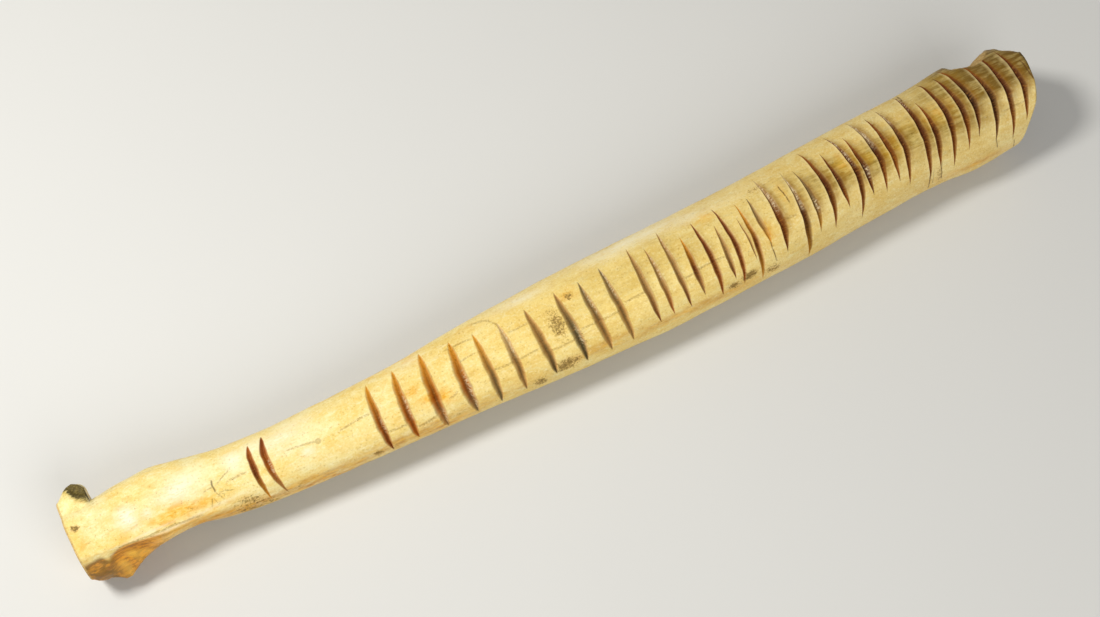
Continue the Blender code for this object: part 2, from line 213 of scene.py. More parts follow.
LONG_RUN = (
    (0.705, 62, -44, 2, 8, 1.9, "pale rust umber", (0.1, 0.95)),
    (0.728, 52, -74, 2, 3, 1.7, "pale umber amber", (0.2, 0.9)),
    (0.742, 45, -42, 0, 10, 1.4, "grey drab amber", (-0.4, 0.1)),
    (0.759, 69, -49, 1, 9, 1.6, "rust umber rust"),
    (0.772, 49, -34, -3, -3, 1.3, "umber umber rust"),
    (0.791, 72, -58, 2, 12, 1.5, "umber umber rust", (0.2, 0.9)),
    (0.8, 54, -36, -1, 1, 1.4, "rust umber umber", (-0.5, 0)),
    (0.817, 78, -41, 2, 8, 1.6, "pale umber rust", (0.1, 0.95)),
    (0.83, 66, -38, 0, 1, 1.4, "umber rust rust"),
    (0.844, 70, -50, 4, 7, 1.5, "drab umber rust", (0.5, 0.9)),
    (0.866, 84, -60, 4, 1, 1.7, "umber umber rust", (0.5, 0.95)),
    (0.878, 48, -50, 3, 5, 1.6, "rust umber rust"),
    (0.895, 80, -56, 5, 6, 1.6, "umber umber rust"),
    (0.911, 70, -42, 4, 8, 1.6, "umber umber rust"),
    (0.924, 80, -34, 6, 14, 1.6, "rust bistre umber"),
    (0.943, 66, -50, 4, 12, 1.7, "rust bistre umber"),
    (0.96, 78, -60, 3, 4, 1.6, "umber umber rust"),
    (0.977, 66, -46, 5, 7, 1.6, "umber umber rust"),
)

# How the cuts of a run look. Left is the left wall's share of the width, power rounds the ends of the opening
# and skew moves its widest place down. The colour fades in over the two edges, given as shares of the depth.
# The core, between two such shares, is darkened by dark, a painted shade, less so towards both tips. The
# right wall turns to its own tint by fade. Rim paints a highlight on the left edge, lift raises it, and the
# last paints the brown shade that runs out to the right.
Style = namedtuple("Style", "left power skew left_edge right_edge core dark fade wall rim lift stain")
FIRST_STYLE = Style(0.5, 0.75, -0.25, 0.35, 0.4, (0.2, 1), 0.35, 0.8, (210, 134, 76), 0.15, 0, 0)
WIDE_STYLE = Style(0.6, 0.7, 0, 0.5, 0.5, (0.5, 1), 0.62, 0.9, (206, 150, 90), 0.1, 0, 0.1)
SHORT_STYLE = Style(0.5, 0.85, 0.1, 0.4, 0.5, (0.5, 1), 0.42, 0.9, (200, 160, 108), 0.2, 0.02, 0.25)
LONG_STYLE = Style(0.34, 1.1, 0.2, 0.2, 0.45, (0.05, 0.45), 0.6, 0.8, (128, 78, 12), 0.55, 0.06, 0.8)
RUNS = ((FIRST_PAIR, FIRST_STYLE), (WIDE_RUN, WIDE_STYLE), (SHORT_RUN, SHORT_STYLE), (LONG_RUN, LONG_STYLE))

# Depth of a cut as a share of its width, the blade's wobble, how far along the bone a cut is looked for, and
# rounds of the search for the line in which its plane meets the skin
CUT_DEPTH_RATIO = 0.62
WOBBLE = 0.04
CUT_REACH = 12
CUT_SEARCHES = 4

# The rows of a cut: their places on its left and right wall as shares of it, the share of the width that
# they keep at its tips, and how far they follow its line past them
CUT_LINES = (-1.3, -1.08, -1, -0.7, -0.4, -0.14, 0, 0.12, 0.38, 0.68, 1, 1.12, 1.4)
CUT_FLOOR = 0.3
TIP_MARGIN = 1.08

# The columns: narrow ones from the near to the far side over the top, in degrees, and wide ones below
TOP_FROM = -92
TOP_TO = 98
TOP_COLUMNS = 90
UNDER_COLUMNS = 22
# The rows leave the cuts between these two angles on their way under the bone
UNDER_START = 86
UNDER_WHOLE = 112
# The rows are fine up to a place in the joint end, wider between the cuts, and fine before the break
END_FINE = 9
END_SPACING = 0.26
SPACING = 0.68
RIM_SPACING = 0.35
ROW_GAP = 0.02
END_RINGS = (0.1, 0.3, 0.5, 0.68, 0.82, 0.92)
EDGE_STEPS = 4
BREAK_RINGS = 9
MARROW_RINGS = 26


def curve(points, at):
    """Smooth curve through (place, value) points."""
    xs, ys = np.array(points, dtype=float).T
    slopes = np.gradient(ys, xs)
    at = np.clip(at, xs[0], xs[-1])
    piece = np.clip(np.searchsorted(xs, at, side="right") - 1, 0, len(xs) - 2)
    span = xs[piece + 1] - xs[piece]
    share = (at - xs[piece]) / span
    start = ys[piece] * (1 + 2 * share) + slopes[piece] * span * share
    finish = ys[piece + 1] * (3 - 2 * share) + slopes[piece + 1] * span * (share - 1)
    return start * (1 - share) ** 2 + finish * share ** 2


def bump(distance, reach):
    """One at the middle, falling smoothly to nothing at the reach."""
    return np.where(np.abs(distance) < reach, np.cos(0.5 * np.pi * distance / reach) ** 2, 0)


def ease(value, low, high):
    """Nought up to low, one from high on, and smooth between them."""
    share = np.clip((value - low) / (high - low), 0, 1)
    return share * share * (3 - 2 * share)


def noise(points, size, seed):
    """Smooth noise from -1 to 1 with cells of that size."""
    lattice = np.random.default_rng(seed).uniform(-1, 1, (NOISE_CELLS,) * 3)
    cells = points / np.asarray(size, dtype=float)
    low = np.floor(cells).astype(int)
    inside = cells - low
    inside = inside * inside * (3 - 2 * inside)
    total = 0
    for corner in np.ndindex(2, 2, 2):
        weight = np.prod(np.where(corner, inside, 1 - inside), axis=-1)
        at = (low + corner) % NOISE_CELLS
        total = total + weight * lattice[at[..., 0], at[..., 1], at[..., 2]]
    return total


def rough(points, height, size, seed, layers=3):
    """Noise of that height, with finer and weaker noise added."""
    size = np.asarray(size, dtype=float)
    return height * sum(noise(points, size / 2 ** k, seed + k) / 2 ** k for k in range(layers))


def section(x, angle):
    """Point (y, z) of the plain skin."""
    share = np.asarray(x) / LENGTH
    crest_y = curve(CREST_LINE, share)
    far = curve(FAR_SIDE, share) - crest_y
    near = curve(NEAR_SIDE, share) + crest_y
    width = np.where(np.sin(angle) > 0, far, near)
    up = np.cos(angle) > 0
    height = np.where(up, curve(CREST_HEIGHT, share), curve(BELLY_DEPTH, share))
    roof = np.where(np.sin(angle) > 0, curve(FAR_FULLNESS, share), curve(NEAR_FULLNESS, share))
    power = 2 / np.where(up, roof, curve(BELLY_FULLNESS, share))
    y = width * np.sign(np.sin(angle)) * np.abs(np.sin(angle)) ** power
    z = height * np.sign(np.cos(angle)) * np.abs(np.cos(angle)) ** power
    radius = np.hypot(y, z)
    degrees = np.degrees(np.arctan2(y, z))
    swell = 0
    for place, reach, direction, spread, amount in SWELLS:
        turn = (degrees - direction + 180) % 360 - 180
        swell = swell + amount * bump(share - place, reach) * bump(turn, spread)
    stretch = 1 + swell / radius
    return crest_y + y * stretch, z * stretch


def setback(angle):
    """How far short of the full length the broken wall ends at an angle."""
    return curve(BREAK, np.degrees(angle))


def linear(rgb):
    """Linear colour of an sRGB one."""
    channels = np.array(rgb) / 255
    return np.where(channels <= 0.04045, channels / 12.92, ((channels + 0.055) / 1.055) ** 2.4)


class Cut:
    """One cut: the plane that the blade moved in and the lens-shaped opening that it left."""

    def __init__(self, row, style):
        share, upper, lower, slant, lean, self.width, tints, *self.painted_glints = row
        self.style = style
        self.x = share * LENGTH
        self.crest = (float(curve(CREST_LINE, share)), float(section(self.x, 0)[1]))
        self.across = math.tan(math.radians(slant))
        self.rise = math.tan(math.radians(lean))
        self.middle = math.radians(0.5 * (upper + lower))
        self.half = math.radians(0.5 * (upper - lower))
        self.tints = np.array([linear(TINTS[name]) for name in tints.split()])
        self.phase = 40 * share

    def plane(self, y, z, angle):
        """x of the stroke at (y, z): a plane, but for the blade's wobble."""
        wobble = WOBBLE * (np.sin(9 * angle + self.phase) + 0.4 * np.sin(23 * angle + 3 * self.phase))
        return self.x + self.across * (y - self.crest[0]) + self.rise * (z - self.crest[1]) + wobble

    def line(self, angle):
        """x at which the plane meets the skin at each angle."""
        x = np.full(angle.shape, self.x)
        for _ in range(CUT_SEARCHES):
            x = self.plane(*section(x, angle), angle)
        return x

    def stroke(self, angle):
        """-1 at the lower tip of the stroke and 1 at the upper tip."""
        return (angle - self.middle) / self.half

    def opening(self, angle):
        """Width of the opening at each angle, nought beyond the tips."""
        stroke = self.stroke(angle)
        warped = stroke + self.style.skew * (1 - stroke ** 2)
        uneven = 1 + 0.05 * np.sin(13 * angle + 2 * self.phase)
        lens = np.clip(1 - warped ** 2, 0, 1) ** self.style.power
        return self.width * uneven * lens * (np.abs(stroke) < 1)

    def colours(self, stroke, side, deep):
        """Tint at each place along the stroke, across the opening and down the walls, with painted shade in
        the core.
        """
        step = np.clip(stroke, -1, 1)[..., None]
        upper, centre, lower = self.tints
        tint = np.where(step > 0, centre + (upper - centre) * step, centre + (lower - centre) * -step)
        faded = (self.style.fade * ease(side, 0.2, 0.9) * (side > 0))[..., None]
        tint = tint + (linear(self.style.wall) - tint) * faded
        # Painted shade: the core of the cut is darkened over its tint, less so towards both tips
        paling = 0.6 * ease(stroke, 0, 0.9) + 0.5 * ease(-stroke, 0.25, 0.8)
        dark = self.style.dark * ease(deep, *self.style.core) * (1 - paling)
        return tint * (1 - dark)[..., None]


CUTS = [Cut(row, style) for run, style in RUNS for row in run]


def column_angles():
    """Angles of the columns, between minus and plus half a turn."""
    top = np.linspace(TOP_FROM, TOP_TO, TOP_COLUMNS)
    under = np.linspace(TOP_TO, TOP_FROM + 360, UNDER_COLUMNS + 2)[1:-1]
    return (np.radians(np.concatenate((top, under))) + math.pi) % (2 * math.pi) - math.pi


def fill(rows, end, spacing):
    """Adds evenly spaced rows from the last up to the end row."""
    start = rows[-1]
    count = max(1, math.ceil(float(np.mean(end - start)) / spacing))
    rows.extend(start + (end - start) * k / count for k in range(1, count + 1))


def cut_rows(cut, angle, under):
    """Rows of one cut, along its walls and its bottom. Under the bone they go straight on."""
    half = TIP_MARGIN * cut.half
    followed = cut.line(np.clip(angle, cut.middle - half, cut.middle + half))
    near_break = np.clip((cut.x - (LENGTH - BREAK_REACH)) / BREAK_REACH, 0, 1)
    centre = followed * (1 - under) + (cut.x - near_break * setback(angle)) * under
    opening = np.maximum(cut.opening(angle), CUT_FLOOR * cut.width)
    walls = (cut.style.left, 1 - cut.style.left)
    return [centre + share * walls[share > 0] * opening for share in CUT_LINES]


def row_places(angle):
    """x of every row in every column. Rows follow the cuts, so that their rims and bottoms are mesh edges."""
    under = ease(np.abs(np.degrees(angle)), UNDER_START, UNDER_WHOLE)
    rows = [np.full(angle.shape, END_ROUND)]
    fill(rows, np.full(angle.shape, END_FINE), END_SPACING)
    for cut in CUTS:
        lines = cut_rows(cut, angle, under)
        fill(rows, lines[0], SPACING)
        rows.extend(lines[1:])
    rim = LENGTH - setback(angle)
    fill(rows, rim, RIM_SPACING)
    places = np.array(rows)
    for i in range(1, len(places)):
        places[i] = np.maximum(places[i], places[i - 1] + ROW_GAP)
    places[-1] = rim
    for i in range(len(places) - 2, -1, -1):
        places[i] = np.minimum(places[i], places[i + 1] - ROW_GAP)
    return places


# Dents of the upper side: place (x, y), reach along and across, and depth, which is negative in a hump
DENTS = (
    (1.7, 2.3, 0.8, 0.5, 0.3), (3.9, 5.6, 0.7, 0.5, 0.25), (12.8, -3.8, 0.35, 0.3, 0.2),
    (2.6, -6.4, 2, 1.7, 0.45), (9.4, -7, 3.4, 1.5, 0.4), (5, -6.2, 0.7, 2.2, -0.25),
    (14, -5.6, 5, 0.35, -0.12), (17, -6.1, 6, 0.3, 0.12), (28.3, -1.9, 0.25, 1.9, 0.14),
    (26.9, -1.7, 1.3, 0.2, 0.08), (33, -7, 2.4, 1.2, 0.16), (101.2, -1, 1.4, 2.6, 0.1),
    (100.3, -8.9, 2.6, 1, 0.16), (49.8, -2, 0.4, 0.4, 0.05), (137.4, -9.1, 1.1, 0.5, 0.12),
    (146.5, -9.4, 1.2, 0.5, 0.12),
)


def patch(x, y, middle_x, middle_y, along, across, strength):
    """A soft patch, strongest in its middle."""
    return strength * np.exp(-((x - middle_x) / along) ** 2 - ((y - middle_y) / across) ** 2)


def process_rise(skin, heart):
    """How far the broken process stands out of the plain skin towards the far side."""
    x, y, z = np.moveaxis(skin, -1, 0)
    edge = np.abs(z - PROCESS_MIDDLE) / PROCESS_HALF
    tall = curve(PROCESS_TOP, x) + rough(skin, *PROCESS_CHIPS)
    dome = PROCESS_BASE + (tall - PROCESS_BASE) * np.clip(1 - edge ** 4, 0, 1) ** 0.4
    inside = (x < PROCESS_TOP[-1][0]) & (edge < 1) & (y > heart) & (dome > y)
    return np.where(inside, dome - y, 0)


def slice_facet(x, heart, way, radius):
    """Radius left by the plane of the facet."""
    ahead = FACET_NORMAL[1] * way[0] + FACET_NORMAL[2] * way[1]
    short = FACET_NORMAL[0] * (FACET_RIDGE[0] - x) + FACET_NORMAL[1] * (FACET_RIDGE[1] - heart)
    cutoff = (short + FACET_NORMAL[2] * FACET_RIDGE[2]) / np.where(np.abs(ahead) > TINY, ahead, TINY)
    sliced = (ahead > 0) & (cutoff < radius) & (cutoff > 0) & (x < FACET_REACH)
    share = 0.5 + 0.5 * ease(x, *FACET_WHOLE)
    return np.where(sliced, radius + (cutoff - radius) * share, radius)


def lose_flake(x, z, heart, way, radius):
    """Radius left where the far edge lost its flake."""
    reach = np.interp(x, *np.array(FLAKE).T) - heart - FLAKE_TILT * np.abs(z)
    inside = (x > FLAKE[0][0]) & (x < FLAKE[-1][0]) & (way[0] > FLAKE_FACING)
    return np.where(inside, np.minimum(radius, reach / np.maximum(way[0], FLAKE_FACING)), radius)


def carve(cut, skin, angle, looks):
    """Adds what one cut does to the skin around it to the looks."""
    rows = np.nonzero(np.abs(skin[..., 0] - cut.x).min(axis=1) < CUT_REACH)[0]
    part = slice(rows[0], rows[-1] + 1)
    around = {name: values[part] for name, values in looks.items()}

    def keep_greater(name, values):
        np.maximum(around[name], values, out=around[name])

    style = cut.style
    x, y, z = np.moveaxis(skin[part], -1, 0)
    off = x - cut.plane(y, z, angle[part])
    stroke = cut.stroke(angle[part])
    opening = cut.opening(angle[part])
    wall = np.where(off < 0, style.left, 1 - style.left)
    side = off / (wall * np.maximum(opening, TINY))
    deep = np.clip(1 - np.abs(side), 0, 1) * (opening > 0)
    keep_greater("depth", deep * opening * CUT_DEPTH_RATIO)

    inside = np.where(off < 0, ease(deep, 0, style.left_edge), ease(deep, 0, style.right_edge))
    newer = inside > around["mask"]
    around["tint"][newer] = cut.colours(stroke, side, deep)[newer]
    keep_greater("mask", inside)

    within = ease(1 - np.abs(stroke), 0, 0.35)
    brink = off + style.left * opening
    behind = np.maximum(off - (1 - style.left) * opening, 0)
    # Painted highlight: a thin bright line just outside the left rim of the cut
    keep_greater("rim", style.rim * within * np.exp(-((brink + 0.08) / 0.1) ** 2))
    keep_greater("lift", style.lift * within * np.exp(-np.minimum(brink, 0) ** 2 / 0.3))
    # Painted shade that runs out to the right of the cut
    keep_greater("stain", style.stain * within * np.exp(-(behind / 0.7) ** 2) * (off > 0))
    # Painted pale glints on the right wall, over the stretch given for the cut
    for low, high in cut.painted_glints:
        held = ease(stroke, low - 0.15, low + 0.15) * ease(stroke, high + 0.15, high - 0.15)
        keep_greater("painted_glints", held * bump(side - 0.42, 0.5) * (opening > 0))


def roughen(radius, skin, mask, broken):
    """Adds waves, which are stronger at the joint end, chips where the flake broke off, and the dents."""
    x, y, z = np.moveaxis(skin, -1, 0)
    waves = rough(skin, *SLOW_WAVES) + rough(skin, *FINE_WAVES)
    waves = waves + rough(skin, *END_WAVES) * ease(x, 34, 22)
    chips = rough(skin, *FLAKE_CHIPS) * broken
    dents = sum(patch(x, y, *row) for row in DENTS) * (z > 0)
    return radius + waves * (1 - 0.6 * mask) + chips - dents


def press_hollow(points, process):
    """Presses the dark hollow into the process, and returns how far each point lies inside its outline."""
    x, y, z = np.moveaxis(points, -1, 0)
    hollow = np.minimum(HOLLOW_SLANT * (y - curve(HOLLOW_LINE, x)), z - HOLLOW_LOW)
    bumps = rough(points, *PROCESS_BUMPS)
    push = (HOLLOW_DEPTH + 0.4 * bumps) * ease(hollow, -0.1, 0.7) * process
    points[..., 2] -= np.minimum(push, HOLLOW_PRESS * np.maximum(z - HOLLOW_LOW, 0))
    points[..., 2] += 0.2 * bumps * process * (y > 6)
    return hollow


def shaft(angle):
    """Points of the outside, the skin that they come from, and what the material has to know about them."""
    x = row_places(angle)
    angle = np.broadcast_to(angle, x.shape)
    y, z = section(x, angle)
    skin = np.stack((x, y, z), axis=-1)
    heart = curve(CREST_LINE, x / LENGTH)
    rise = process_rise(skin, heart)
    skin[..., 1] += rise

    spoke = np.stack((skin[..., 1] - heart, z), axis=-1)
    plain = np.linalg.norm(spoke, axis=-1)
    way = (spoke[..., 0] / plain, spoke[..., 1] / plain)
    sliced = slice_facet(x, heart, way, plain)
    flaked = lose_flake(x, z, heart, way, sliced)
    broken = ease(sliced - flaked, 0, FLAKE_EDGE)

    looks = {name: np.zeros(x.shape) for name in ("depth", "mask", "rim", "lift", "stain", "painted_glints")}
    looks["tint"] = np.zeros(x.shape + (3,))
    for cut in CUTS:
        carve(cut, skin, angle, looks)
    radius = np.minimum(flaked, plain + looks["lift"] - looks["depth"])
    radius = roughen(radius, skin, looks["mask"], broken)

    overhang = OVERHANG * bump(rise - OVERHANG_RISE, OVERHANG_RISE) * ease(x, 3.5, 5.5)
    points = np.stack((x + overhang, heart + way[0] * radius, way[1] * radius), axis=-1)
    hollow = press_hollow(points, rise > 0)
    around = (x < 9) & (points[..., 1] > 0) & (z > -5)
    looks["scar"] = np.where(around, np.maximum(hollow, NO_HOLLOW), NO_HOLLOW)
    looks["broken"] = broken
    return points, skin, looks


def end_rings(first):
    """Rings of the dished joint face and its rounded edge, from the middle outwards."""
    middle = first.mean(axis=0)
    spokes = first - middle
    lengths = np.linalg.norm(spokes[:, 1:], axis=1)[:, None]
    inner = middle + spokes * (1 - END_ROUND / lengths)
    rings = []
    for share in END_RINGS:
        ring = middle + (inner - middle) * share
        ring[:, 0] = END_DISH * (1 - share ** 2) + rough(ring, *FACE_BUMPS) * (1 - share ** 4)
        rings.append(ring)
    for k in range(EDGE_STEPS):
        turn = 0.5 * math.pi * k / EDGE_STEPS
        ring = middle + spokes * (1 - END_ROUND * (1 - math.sin(turn)) / lengths)
        ring[:, 0] = END_ROUND * (1 - math.cos(turn))
        rings.append(ring)
    return rings


def break_rings(rim):
    """Rings over the broken wall, from the outer rim to the edge of the marrow hollow."""
    spokes = rim.mean(axis=0) - rim
    lengths = np.linalg.norm(spokes[:, 1:], axis=1)[:, None]
    rings = []
    for k in range(1, BREAK_RINGS + 1):
        share = k / BREAK_RINGS
        ring = rim + spokes / lengths * WALL * share
        ring[:, 0] += rough(ring, *BREAK_BUMPS) * math.sin(math.pi * share) - BREAK_LIP * share ** 3
        rings.append(ring)
    return rings


def marrow_rings(angle):
    """Rings of the marrow hollow, from the break to its blunt inner end."""
    inner = LENGTH * (1 - MARROW_SHARE)
    mouth = LENGTH - setback(angle) - MARROW_MOUTH
    rings = []
    for share in np.linspace(1, 0, MARROW_RINGS):
        x = inner + (mouth - inner) * share
        y, z = section(x, angle)
        ring = np.stack((x, y, z), axis=-1)
        spokes = ring - ring.mean(axis=0)
        spokes[:, 0] = 0
        lengths = np.linalg.norm(spokes, axis=1)[:, None]
        taper = min(1, math.sqrt((share + MARROW_TIP_SHARE) / MARROW_TAPER_SHARE))
        reach = (lengths - WALL + rough(ring, *MARROW_BUMPS)[:, None]) * taper
        rings.append(ring - spokes + spokes / lengths * reach)
    return rings


def to_world(points):
    """Rolls and levels the bone as the solid is, sets it on the floor and turns millimetres into metres."""
    turn = np.array(Matrix.Rotation(PITCH, 3, "Y") @ Matrix.Rotation(ROLL, 3, "X"))
    world = points @ turn.T + PLACE
    world[:, 2] = np.maximum(world[:, 2], 0)
    return world * MM


# Soft patches of colour on the upper side: place (x, y), reach along and across, and strength
AMBER_PATCHES = (
    (19.6, -3, 4.6, 1.6, 1), (26, -3.4, 3, 1.1, 0.7), (72.9, -3.6, 2, 1.6, 0.8),
    (75.6, -4.6, 1.4, 1.4, 0.9), (70, -1.2, 1.2, 1, 0.8), (66, -1, 2.4, 2.6, 0.3),
    (147.6, -1.8, 0.9, 2.4, 0.9), (14.1, 3.2, 6, 1.6, 0.4), (67.2, 5.4, 8, 0.9, 0.5),
    (9.4, -3.6, 6, 1.2, 0.5), (86, 5.6, 5, 0.6, 0.3), (137.5, 5.6, 2.2, 0.8, 0.5),
    (178.5, 3, 2.4, 1.8, 0.5), (190, 5, 5, 2.4, 0.4), (169, 4, 3.6, 2.6, 0.45), (108, -8.8, 9, 1, 0.4),
    (60, -9, 30, 1.2, 0.7), (41, -8.4, 10, 1, 0.8), (195, -7.6, 9, 0.5, 0.6), (153.9, 3.6, 0.8, 2.4, 0.4),
    (27, -5.8, 7, 0.7, 0.7), (33, -8, 6, 1.2, 0.9), (17, -5.8, 5, 0.5, 0.8), (105.6, 3.4, 2.4, 1.2, 0.5),
    (1.6, -1, 1.2, 4, 0.4), (4, 6.6, 2.6, 1.2, 0.4), (130, -9.8, 20, 0.8, 0.5), (25, -6.9, 5, 0.8, 1),
    (29.5, -7.6, 4, 0.9, 1), (50, -9.2, 10, 1.1, 1), (74, -9.6, 9, 0.8, 0.9),
)
# Pale bone in places, and painted highlights near the crest, along the facet ridge and at the far edge
PALE_AND_HIGHLIGHT_PATCHES = (
    (22.5, 0.8, 4.8, 2.4, 1), (11.3, 0.2, 2, 2.4, 1), (15, -0.6, 1.2, 1, 0.7), (33.5, 1.4, 2.2, 2.2, 0.7),
    (43.5, 0.8, 5, 2.4, 0.8), (47.2, -3, 1.6, 1, 0.6), (6, 3, 3, 2, 0.3), (72, 4.6, 3, 1.2, 0.4),
    (126, 7.6, 18, 1.6, 0.6), (26, -5, 5, 0.4, 0.6), (96, 6.4, 8, 1, 0.4), (38, 2.4, 3, 1.6, 0.5),
    (13, -4.15, 6, 0.22, 1), (17.5, -5.3, 5, 0.25, 1), (46, 2.6, 4, 1.6, 0.4),
)
OLIVE_PATCHES = ((160, 1.4, 4, 3.4, 0.8), (187, 1, 3, 2.2, 0.6))
# Painted light: bright spots on the shaded facet
FACET_PAINTED_LIGHTS = (
    (9.4, -8.2, 1.3, 0.7, 1), (7, -10, 1, 0.9, 0.8), (11.5, -7.9, 3, 0.4, 0.6), (5, -6.4, 0.5, 0.9, 0.5),
)
DIRT_PATCHES = (
    (33, -7.4, 3.2, 1.7, 0.9), (43, -8.4, 1, 0.6, 0.6), (59.3, -9, 0.9, 0.6, 0.9),
    (101.2, -0.8, 1.6, 3.4, 1), (100.4, -9, 2.8, 1.1, 1), (94.3, -9.9, 1.5, 0.7, 0.9),
    (137.4, -9.1, 1.2, 0.5, 1.7), (141, -8.5, 1.6, 0.6, 1.5), (146.5, -9.3, 1.5, 0.6, 1.5),
    (186.9, -6.4, 0.7, 1.4, 0.8), (105.8, 2.9, 0.9, 0.9, 0.7), (1.7, 2.5, 1, 0.6, 1.9),
    (3.6, 6.3, 0.5, 0.5, 1.2), (12.8, -3.8, 0.3, 0.3, 1), (22.4, -3.6, 1, 0.8, 0.6),
    (104.4, -6, 1.2, 3.8, 0.7), (169, 0.2, 2.2, 0.9, 0.5), (131, -3.2, 0.6, 0.6, 0.3),
    (83.4, 5.2, 1.2, 0.4, 0.4), (36, -8.6, 5, 0.7, 0.6), (76, -8.4, 4, 1, 0.4), (63, -9.2, 4, 0.5, 0.4),
    (150, 6.6, 3, 0.6, 0.4),
)
PATCH_LOW = -1.5

# Thin marks on the upper side, as lines through (x, y), and a small ring
MARKS = {
    "gash": (((28.3, -0.4), (28.1, -1.1), (28.2, -2.1)),),
    "scratch": (
        ((26.3, -1.6), (27.2, -1.5), (28, -1.5)), ((28.7, -1.4), (30.4, -0.6), (32.3, 0.3)),
        ((28.3, -2.5), (28.5, -3.1), (28.9, -3.9)), ((29.4, -3), (31, -3.4)), ((27, -3.7), (26.6, -4.6)),
    ),
    "crack": (
        ((7.8, -4.6), (12, -4.7), (19, -5), (24, -5.4)), ((86.7, -4.1), (91.2, -4.3), (96.3, -4)),
        ((98.3, -5.4), (105, -5.3)), ((105.5, -4), (110.9, -4.1), (114.3, -3.9)),
        ((115.8, -2.9), (120.2, -2.7)), ((128.5, -3.6), (133.5, -3), (138.4, -3.1)),
        ((76.4, -5.4), (77.3, -5.2), (78.1, -4.8)), ((67.9, -7.7), (70.4, -7.8), (72.6, -7.6)),
        ((62.1, -6.3), (66.3, -6.5)), ((79.8, 3.5), (84.5, 3.5)), ((81.2, 0.3), (84.2, 0.6)),
        ((92.2, 1.4), (96.1, 1.5)), ((31.7, -1.6), (34.9, -1.6)),
        ((43.4, -1.1), (45.8, -1.3), (49.3, -1.9)), ((54.5, -2), (57.3, -1.6), (60.7, -1.4)),
        ((203.5, -0.4), (208.3, -0.3)), ((150.2, -1.5), (154.3, -1.5)),
        ((86.1, 6), (89.2, 5.6), (90.8, 3.9)),
    ),
    "tail": (
        ((147.3, -3.7), (147.3, -5.8), (147.5, -8)), ((153.9, 4.9), (154.2, 1.5)),
        ((186.7, 11.6), (186, 9.5), (186, 7.8)), ((211.7, 7.3), (211.7, 3.6)),
        ((187.6, -4.6), (187.3, -6), (187.4, -7.3)), ((184.7, -5.4), (184.45, -7.9)),
        ((200.5, -5), (200.7, -6.3)), ((205, -6.7), (205.3, -7.6)),
    ),
}
MARK_DRIFT = 0.12
RING_PLACE = (49.8, -2, 6.3)
RING_RADIUS = 0.6


def blobs(skin, patches):
    """Strength of the strongest of the patches at each point."""
    x, y, z = skin.T
    total = np.zeros(len(skin))
    for row in patches:
        total = np.maximum(total, patch(x, y, *row) * (z > PATCH_LOW))
    return total


def lines(skin, polylines):
    """Signed distance to the nearest polyline on the upper side, and one beside it and nought elsewhere."""
    drift = np.stack((noise(skin, 0.9, 81), noise(skin, 0.9, 83)), axis=-1)
    flat = skin[:, :2] + MARK_DRIFT * drift
    best = np.full(len(skin), 1e3)
    off = np.zeros(len(skin))
    on = np.zeros(len(skin))
    for points in polylines:
        for start, end in zip(np.array(points), np.array(points[1:])):
            span = end - start
            to = flat - start
            share = np.clip(to @ span / (span @ span), 0, 1)
            gap = np.linalg.norm(to - share[:, None] * span, axis=1)
            across = (span[0] * to[:, 1] - span[1] * to[:, 0]) / np.linalg.norm(span)
            nearer = gap < best
            best = np.where(nearer, gap, best)
            off = np.where(nearer, across, off)
            on = np.where(nearer, ease(gap - np.abs(across), 0.3, 0) * ease(gap, 0.9, 0.5), on)
    return off, on * (skin[:, 2] > 0)


def olive_zone(skin, drift):
    """Olive brown: a band beside the crest, stronger along the bone, and the far side before the break."""
    x, y, z = skin.T
    share = x / LENGTH
    band = ease(y + 1.2 * drift, -3.4, 1.4) * (1 - ease(y + 1.2 * drift, 3.6, 8.6)) * (z > 0)
    band = band * (0.25 * ease(share, 0.42, 0.55) + 0.75 * ease(share, 0.69, 0.79))
    far = ease(y + drift, 0.5, 4.6) * ease(share, 0.85, 0.92)
    zone = np.maximum(band * ease(share, 0.97, 0.9), far)
    return np.clip(np.maximum(zone, blobs(skin, OLIVE_PATCHES)), 0, 1)


def facet_zone(skin, drift):
    """Painted brown shade of the facet, with a softer border next to the joint face and a faint end along the
    bone.
    """
    x, y, z = skin.T
    soft = 1 + ease(x, 8, 5.5)
    zone = ease(curve(FACET_TOP, x) - y + 0.5 * drift, -0.35 * soft, 0.6 * soft) * ease(z, -7.5, -4.5)
    return zone * (0.3 + 0.7 * ease(x, 19, 12)) * ease(x, 34, 24)


